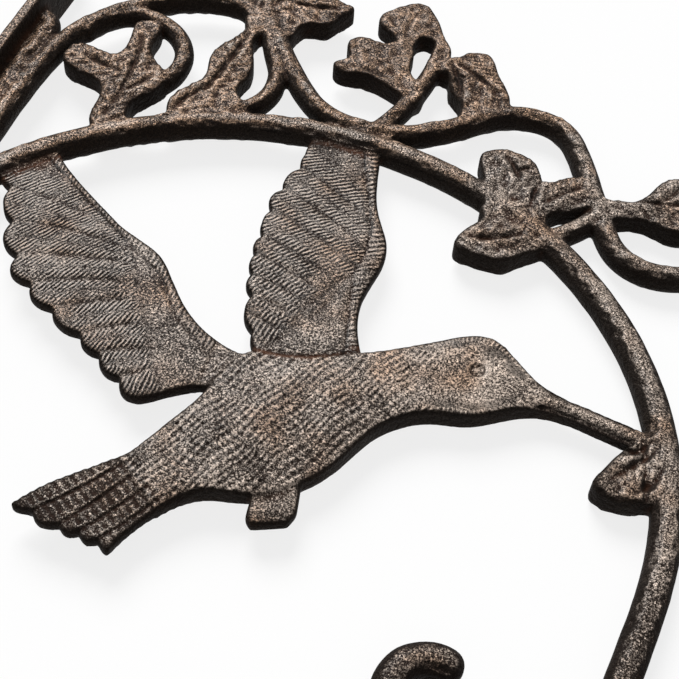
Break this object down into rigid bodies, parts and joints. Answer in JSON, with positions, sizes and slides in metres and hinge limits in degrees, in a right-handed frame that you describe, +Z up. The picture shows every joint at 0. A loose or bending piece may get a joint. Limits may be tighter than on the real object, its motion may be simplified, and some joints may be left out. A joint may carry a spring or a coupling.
{
  "type": "plant hanger bracket",
  "caption": "Flat cast-iron wall bracket for a hanging plant: a ring-shaped arm ending in a hook, carrying a leafy scrolled vine and a hummingbird in flight.",
  "frame": {"origin": "on the plate's wall face, midway between the screw holes", "axes": "+X out from the wall along the arm, +Z up along the plate, +Y across the casting's thickness"},
  "size_m": [0.2391, 0.017, 0.2744],
  "materials": {
    "cast_iron": "dark brown sand casting with a dull coppery sheen on its raised parts"
  },
  "bodies": {
    "root": {"bracket": "cast_iron"}
  },
  "joints": []
}
